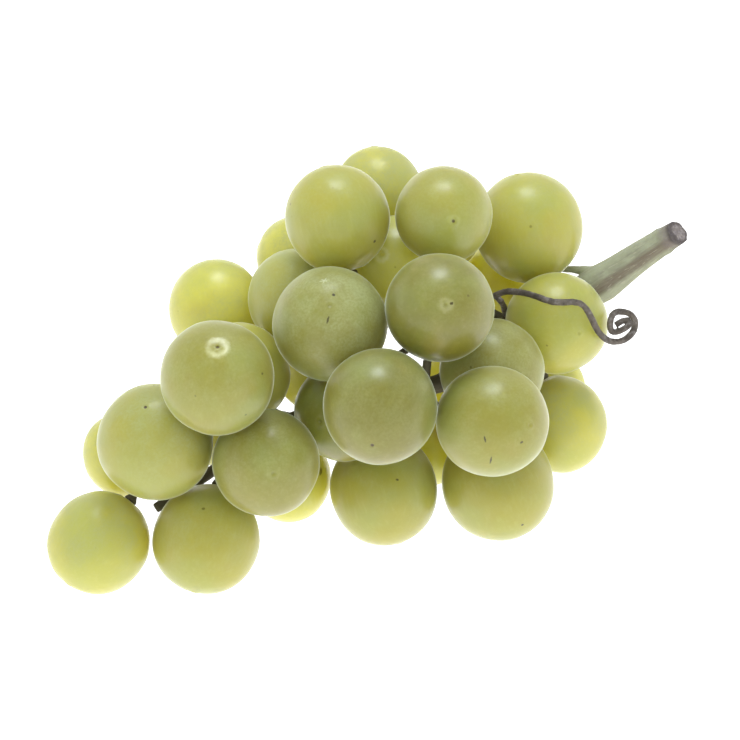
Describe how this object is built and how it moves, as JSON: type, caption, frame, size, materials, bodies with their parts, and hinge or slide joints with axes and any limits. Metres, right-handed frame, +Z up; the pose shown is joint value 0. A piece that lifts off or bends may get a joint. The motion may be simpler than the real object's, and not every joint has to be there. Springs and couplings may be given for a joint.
{
  "type": "bunch of grapes",
  "caption": "Small laid-down bunch of round white table grapes on a branched green stalk, with a cut peduncle and a dry curled tendril.",
  "frame": {"origin": "on the table under the middle of the bunch's box: the middle in x and y, the lowest point in z", "axes": "+X along the bunch's length towards its cut stalk, +Y away from the viewer of the picture, turned by 26 degrees, +Z up from the table"},
  "size_m": [0.1264, 0.0798, 0.0651],
  "materials": {
    "grape_skin": "translucent yellow-green grape skin with a greyish waxy bloom, satin",
    "green_stem": "pale green fresh stem, browner where it was cut, matte",
    "dry_stem": "dry grey-brown tendril, matte"
  },
  "bodies": {
    "root": {"grape_01": "grape_skin", "grape_02": "grape_skin", "grape_03": "grape_skin", "grape_04": "grape_skin", "grape_05": "grape_skin", "grape_06": "grape_skin", "grape_07": "grape_skin", "grape_08": "grape_skin", "grape_09": "grape_skin", "grape_10": "grape_skin", "grape_11": "grape_skin", "grape_12": "grape_skin", "grape_13": "grape_skin", "grape_14": "grape_skin", "grape_15": "grape_skin", "grape_16": "grape_skin", "grape_17": "grape_skin", "grape_18": "grape_skin", "grape_19": "grape_skin", "grape_20": "grape_skin", "grape_21": "grape_skin", "grape_22": "grape_skin", "grape_23": "grape_skin", "grape_24": "grape_skin", "grape_25": "grape_skin", "grape_26": "grape_skin", "grape_27": "grape_skin", "grape_28": "grape_skin", "grape_29": "grape_skin", "grape_30": "grape_skin", "grape_31": "grape_skin", "grape_32": "grape_skin", "grape_33": "grape_skin", "grape_34": "grape_skin", "grape_35": "grape_skin", "grape_36": "grape_skin", "grape_37": "grape_skin", "stalk": "green_stem", "tendril": "dry_stem"}
  },
  "joints": []
}
